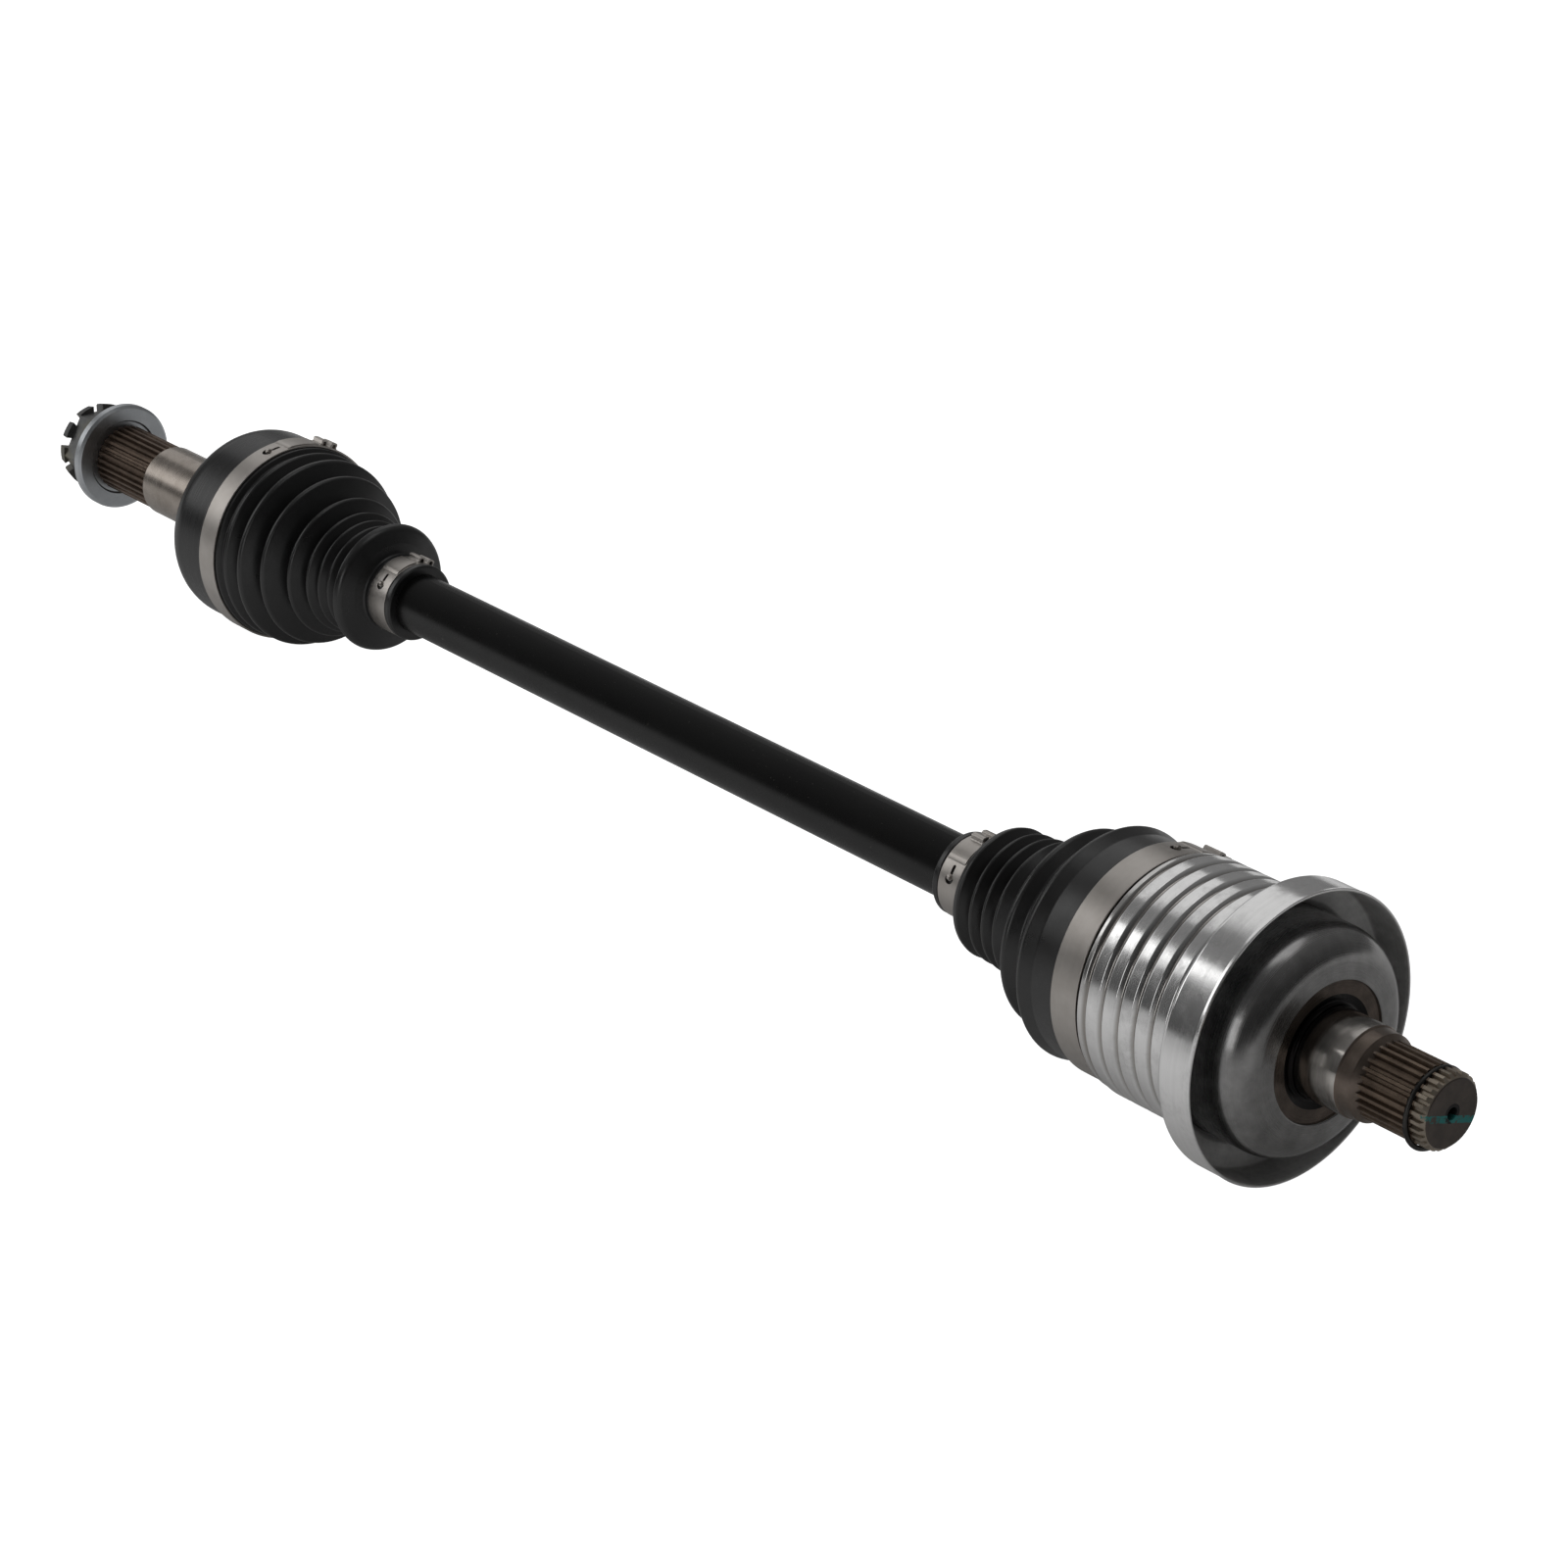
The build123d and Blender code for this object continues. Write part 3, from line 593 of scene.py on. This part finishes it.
def arch(u0, width, height, thick):
    """Outline of a folded ear: a strip that rises from the band, turns over and comes down."""
    half = width / 2
    outer = [(-half - 1.6, thick), (-half - 0.5, thick + 0.25), (-half, thick + 0.9), (-half, height - 0.8)]
    outer += [(-half + 0.25, height - 0.25), (-half + 0.8, height)]
    outer += [(-u, h) for u, h in outer[::-1]]
    inner = [(half - thick, 0.1), (half - thick, height - thick - 0.5), (half - thick - 0.5, height - thick)]
    inner += [(-u, h) for u, h in inner[::-1]]
    return [(u0 + u, h) for u, h in outer + inner]


def bevelled(mesh, width):
    """Rounds the edges of a plate."""
    shape = bmesh.new()
    shape.from_mesh(mesh)
    edges = [e for e in shape.edges if e.calc_face_angle(0.0) > math.radians(50)]
    bmesh.ops.bevel(shape, geom=edges, offset=width * MM, segments=2, affect="EDGES", clamp_overlap=True)
    shape.to_mesh(mesh)
    shape.free()
    mesh.shade_smooth()
    mesh.set_sharp_from_angle(angle=math.radians(45))
    return mesh


def cut(mesh, cutters):
    """Mesh with the cutter meshes taken away."""
    stock = bpy.data.objects.new("stock", mesh)
    bpy.context.scene.collection.objects.link(stock)
    tools = []
    for tool_mesh in cutters:
        tool = bpy.data.objects.new("tool", tool_mesh)
        bpy.context.scene.collection.objects.link(tool)
        step = stock.modifiers.new("cut", "BOOLEAN")
        step.operation = "DIFFERENCE"
        step.solver = "EXACT"
        step.object = tool
        tools.append(tool)
    graph = bpy.context.evaluated_depsgraph_get()
    result = bpy.data.meshes.new_from_object(stock.evaluated_get(graph))
    for made in (stock, *tools):
        bpy.data.objects.remove(made)
    result.name = mesh.name
    result.shade_smooth()
    result.set_sharp_from_angle(angle=math.radians(32))
    return result


def hole_outline(u, x, length, width, steps=10):
    """Round-ended slot in (along the band, along the shaft)."""
    half = max(0.0, (length - width) / 2)
    points = []
    for side, turn in ((half, -90), (-half, 90)):
        for k in range(steps + 1):
            a = math.radians(turn + 180 * k / steps)
            points.append((u + side + width / 2 * math.cos(a), x + width / 2 * math.sin(a)))
    return points


def crescent(u, x, radius, steps=12):
    """Crescent with its horns towards the slot, in (along the band, along the shaft)."""
    points = []
    for k in range(steps + 1):
        a = math.radians(-95 + 190 * k / steps)
        points.append((u + radius * math.cos(a), x + radius * math.sin(a)))
    for k in range(steps + 1):
        a = math.radians(80 - 160 * k / steps)
        points.append((u - 0.55 * radius + 0.85 * radius * math.cos(a), x + 0.85 * radius * math.sin(a)))
    return points


def punch(name, outline, r, depth, angle):
    """Cutter through the band: an outline in (along the band, x), from r - depth to r + depth."""
    shape = bmesh.new()
    rows = []
    for radius in (r - depth, r + depth):
        row = []
        for u, x in outline:
            a = math.radians(angle) + u / r
            row.append(shape.verts.new((x * MM, -radius * math.sin(a) * MM, radius * math.cos(a) * MM)))
        rows.append(row)
    count = len(outline)
    for k in range(count):
        shape.faces.new((rows[0][k], rows[0][(k + 1) % count], rows[1][(k + 1) % count], rows[1][k]))
    shape.faces.new(rows[0][::-1])
    shape.faces.new(rows[1])
    bmesh.ops.recalc_face_normals(shape, faces=shape.faces)
    mesh = bpy.data.meshes.new(name)
    shape.to_mesh(mesh)
    shape.free()
    return mesh


def clamp(name, body, x0, x1, r_in, thick, window, ear, size):
    """Band clamp: a band with a hook window, a lapped outer layer, a hook tab and two folded ears.
    window and ear are angles in degrees from the top; size scales the details."""
    mid, width = (x0 + x1) / 2, x1 - x0
    edge = thick * 0.35
    r_out = r_in + thick
    band = turned_mesh(name, [rounded([
        (x0, r_in, edge), (x0, r_out, edge), (x1, r_out, edge), (x1, r_in, edge),
    ], closed=True)])
    hole = crescent(1.9 * size, mid, 2.5 * size)
    slot = hole_outline(-2.7 * size, mid + 0.04 * width, 4.8 * size, 1.7 * size)
    band = cut(band, [
        punch("hole", hole, r_out, 2.2 * thick, window),
        punch("slot", slot, r_out, 2.2 * thick, window),
    ])
    add(name, band, band_steel, body, name_of_node(name))
    lap = math.radians(window - ear) * r_in
    steps = 24
    top = [(-8.5 * size - (lap - 16.0 * size) * k / steps, thick * 1.6) for k in range(steps + 1)]
    bottom = [(u, thick * 0.7) for u, _ in top[::-1]]
    lead = [(-6.0 * size, thick * 0.8), (-6.6 * size, thick * 1.25)]
    if lap > 17.0 * size:
        sheet = wrapped(f"{name}_lap", lead + top + bottom, x0 + 0.6, x1 - 0.6, r_in, window)
        add(f"{name}_lap", bevelled(sheet, 0.12), band_steel, body, None)
    tongue = [(-0.2 * size, thick * 0.8), (0.1 * size, thick * 1.7), (0.8 * size, thick * 2.1),
              (1.7 * size, thick * 2.0), (2.2 * size, thick * 1.4), (1.7 * size, thick * 0.8)]
    tab = wrapped(f"{name}_tab", tongue, mid - 0.9 * size, mid + 0.9 * size, r_in, window)
    add(f"{name}_tab", bevelled(tab, 0.12), band_steel, body, None)
    for k, shift in enumerate((-2.9 * size, 2.9 * size)):
        fold = arch(shift, 3.4 * size, thick + 2.7 * size, thick * 0.8)
        loop = wrapped(f"{name}_ear_{k + 1}", fold, x0 + 2.2, x1 - 2.2, r_in, ear)
        add(f"{name}_ear_{k + 1}", bevelled(loop, 0.15), band_steel, body, None)


def name_of_node(name):
    """CAD node that a clamp band stands for."""
    return name.replace("_band", "_clamp")


clamp("outer_large_band", "outer_housing", -293.8, -282.0, 47.25, 1.1, 10.0, -28.0, 1.0)
clamp("outer_small_band", "axle_bar", -199.2, -186.8, 17.35, 0.9, 50.0, -28.0, 0.9)
clamp("inner_small_band", "axle_bar", 193.8, 205.4, 17.35, 0.9, 65.0, -8.0, 0.9)
clamp("inner_large_band", "inner_housing", 293.5, 307.6, 48.65, 1.1, -14.0, -42.0, 1.0)


# ---- floor, light and camera ---------------------------------------------------------------------
def floor():
    """Plain white sweep under the shaft."""
    size = 6.0
    low = cad_low[2]
    mesh = bpy.data.meshes.new("floor")
    corners = [(-size, -size, low), (size, -size, low), (size, size, low), (-size, size, low)]
    mesh.from_pydata(corners, [], [(0, 1, 2, 3)])
    sheet = bpy.data.objects.new("floor", mesh)
    bpy.context.scene.collection.objects.link(sheet)
    material = bpy.data.materials.new("floor_white")
    material.use_nodes = True
    tree = material.node_tree
    bsdf = tree.nodes["Principled BSDF"]
    bsdf.inputs["Base Color"].default_value = (0.8, 0.8, 0.8, 1)
    bsdf.inputs["Roughness"].default_value = 0.9
    bsdf.inputs["Specular IOR Level"].default_value = 0.0
    bsdf.inputs["Emission Color"].default_value = (1, 1, 1, 1)
    path = tree.nodes.new("ShaderNodeLightPath")
    place = tree.nodes.new("ShaderNodeNewGeometry")
    split = tree.nodes.new("ShaderNodeSeparateXYZ")
    tree.links.new(place.outputs["Position"], split.inputs[0])
    reach = tree.nodes.new("ShaderNodeMapRange")
    reach.inputs["From Min"].default_value = -1.0
    glow = tree.nodes.new("ShaderNodeValToRGB")
    marks = glow.color_ramp.elements
    bounce = ((-1.0, 0.06), (-0.5, 0.12), (-0.2, 0.27), (-0.12, 0.22), (-0.03, 0.07), (0.25, 0.07), (0.7, 0.38))
    while len(marks) < len(bounce):
        marks.new(0.5)
    for mark, (y, level) in zip(marks, bounce):
        mark.position = (y + 1) / 2
        mark.color = (level, level, level, 1)
    tree.links.new(split.outputs["Y"], reach.inputs[0])
    tree.links.new(reach.outputs[0], glow.inputs[0])
    strength = tree.nodes.new("ShaderNodeMapRange")
    tree.links.new(glow.outputs[0], strength.inputs[3])
    strength.inputs[4].default_value = 1.0
    tree.links.new(path.outputs["Is Camera Ray"], strength.inputs[0])
    tree.links.new(strength.outputs[0], bsdf.inputs["Emission Strength"])
    mesh.materials.append(material)


def softbox(name, direction, distance, width, height, radiance, up=(0, 0, 1)):
    """Area light that faces the shaft from a direction."""
    back = np.array(direction, float)
    back /= np.linalg.norm(back)
    side = np.cross(up, back)
    side /= np.linalg.norm(side)
    top = np.cross(back, side)
    light = bpy.data.lights.new(name, "AREA")
    light.shape = "RECTANGLE"
    light.size = width
    light.size_y = height
    light.energy = radiance * math.pi * width * height
    lamp = bpy.data.objects.new(name, light)
    bpy.context.scene.collection.objects.link(lamp)
    turn = Matrix((side, top, back)).transposed().to_4x4()
    lamp.matrix_world = Matrix.Translation(back * distance) @ turn
    return lamp


def only_on(lamp, names, include):
    """Limits a light to some nodes, or keeps it off them."""
    group = bpy.data.collections.new(f"{lamp.name}_reach")
    for name in names:
        group.objects.link(frame["nodes"][name])
    for entry in group.collection_objects:
        entry.light_linking.link_state = "INCLUDE" if include else "EXCLUDE"
    lamp.light_linking.receiver_collection = group


floor()
left = softbox("box_left", (-0.71, -0.52, 0.48), 1.8, 0.95, 1.15, 1.25)
back = softbox("box_back", (-0.66, 0.36, 0.66), 2.0, 1.5, 1.7, 0.5)
only_on(left, ["axle_bar"], False)
only_on(back, ["axle_bar"], False)
softbox("box_side", (0.27, -0.93, 0.25), 1.8, 0.7, 0.9, 1.5)
softbox("box_top", (0.15, 0.15, 1.0), 1.6, 0.9, 0.9, 0.8)
low_box = softbox("box_low", (-0.71, -0.6, -0.42), 1.5, 1.2, 1.0, 2.8)
only_on(low_box, ["axle_bar"], True)

world = bpy.data.worlds.new("studio")
world.use_nodes = True
nodes, links = world.node_tree.nodes, world.node_tree.links
nodes["Background"].inputs["Color"].default_value = (1, 1, 1, 1)
direction = nodes.new("ShaderNodeTexCoord")
facing = nodes.new("ShaderNodeVectorMath")
facing.operation = "DOT_PRODUCT"
facing.inputs[1].default_value = (-0.45, 0.45, 0.77)
ambient = nodes.new("ShaderNodeMapRange")
for socket, value in zip(ambient.inputs[1:5], (-0.2, 0.8, 0.05, 0.2)):
    socket.default_value = value
links.new(direction.outputs["Generated"], facing.inputs[0])
links.new(facing.outputs["Value"], ambient.inputs[0])
links.new(ambient.outputs[0], nodes["Background"].inputs["Strength"])
bpy.context.scene.world = world
bpy.context.scene.view_settings.view_transform = "Standard"

camera_data = bpy.data.cameras.new("camera")
camera_data.lens = 108.25
camera_data.sensor_width = 36.0
camera_data.clip_end = 50.0
camera = bpy.data.objects.new("camera", camera_data)
bpy.context.scene.collection.objects.link(camera)
CAMERA_AT = (1.46023, -1.18913, 0.85652)
CAMERA_RIGHT = (0.651800, 0.758391, 0.0)
CAMERA_UP = (-0.322396, 0.277083, 0.905144)
CAMERA_BACK = (0.686453, -0.589973, 0.425105)
camera.matrix_world = Matrix.Translation(CAMERA_AT) @ Matrix((CAMERA_RIGHT, CAMERA_UP, CAMERA_BACK)).transposed().to_4x4()
bpy.context.scene.camera = camera
